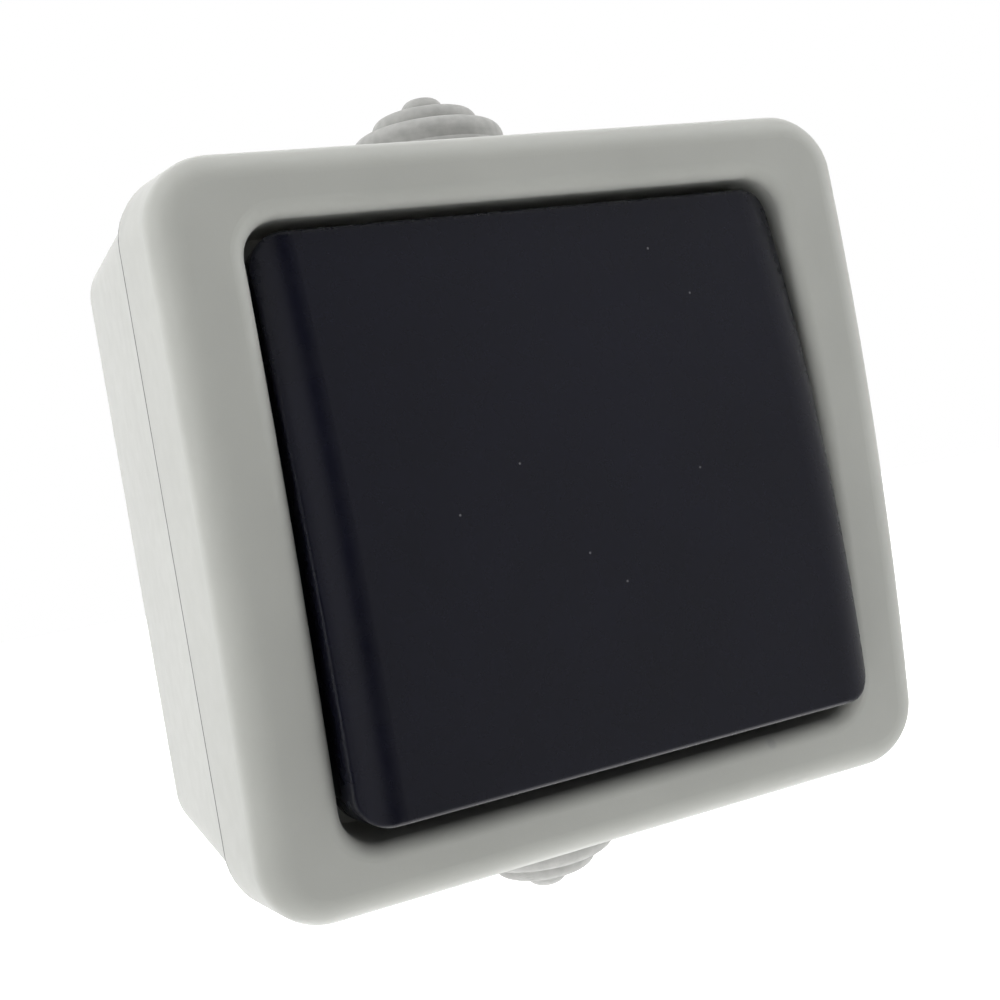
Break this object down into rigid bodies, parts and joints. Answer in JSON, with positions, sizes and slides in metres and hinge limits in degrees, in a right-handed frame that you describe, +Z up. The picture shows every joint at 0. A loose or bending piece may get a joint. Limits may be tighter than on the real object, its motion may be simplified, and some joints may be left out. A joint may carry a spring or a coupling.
{
  "type": "outdoor weatherproof switch",
  "caption": "Surface-mounted weatherproof wall switch: grey box and domed cover frame, a large dark rocker, stepped rubber cable grommets above and below.",
  "frame": {"origin": "centre of the back face, on the wall", "axes": "+Y into the wall, the front faces -Y; +Z up; +X to the right as seen from the front"},
  "size_m": [0.0762, 0.0548, 0.0922],
  "materials": {
    "grey_plastic": "light grey moulded plastic, satin",
    "black_plastic": "near-black moulded plastic, satin",
    "grey_rubber": "soft grey rubber",
    "seal_rubber": "dark rubber",
    "insulator": "off-white insulating plastic",
    "brass": "plain brass",
    "silver": "silver contact rivet",
    "steel": "zinc-plated steel"
  },
  "bodies": {
    "root": {"back_box": "grey_plastic", "front_frame": "grey_plastic", "top_grommet": "grey_rubber", "bottom_grommet": "grey_rubber", "box_gasket": "seal_rubber", "mechanism_seal": "seal_rubber", "mechanism_base": "insulator", "mechanism_cap": "insulator", "common_strip": "brass", "load_strip": "brass", "fixed_contact": "silver", "line_terminal": "brass", "load_terminal": "brass", "terminal_screws": "steel", "mechanism_screws": "steel", "cover_screws": "steel", "cover_washers": "seal_rubber"},
    "rocker": {"rocker": "black_plastic", "dolly": "insulator", "dolly_spring": "steel"},
    "plunger": {"plunger": "insulator"},
    "lever": {"contact_lever": "brass", "moving_contact": "silver"}
  },
  "joints": [
    {"name": "rocker_tilt", "type": "hinge", "parent": "root", "child": "rocker", "pos_m": [0, -0.045, 0], "axis": [1, 0, 0], "range_deg": [0, 11.72]},
    {"name": "lever_tilt", "type": "hinge", "parent": "root", "child": "lever", "pos_m": [0, -0.0203, 0], "axis": [1, 0, 0], "range_deg": [-17.58, 0]},
    {"name": "plunger_slide", "type": "slide", "parent": "rocker", "child": "plunger", "axis": [0, -0.9948, 0.1021], "range_m": [0, 0.0008], "stiffness_N_per_m": 800, "deforming": ["dolly_spring"]}
  ],
  "couplings": [
    {"joint": "lever_tilt", "follows": "rocker_tilt", "ratio": -1.5}
  ]
}
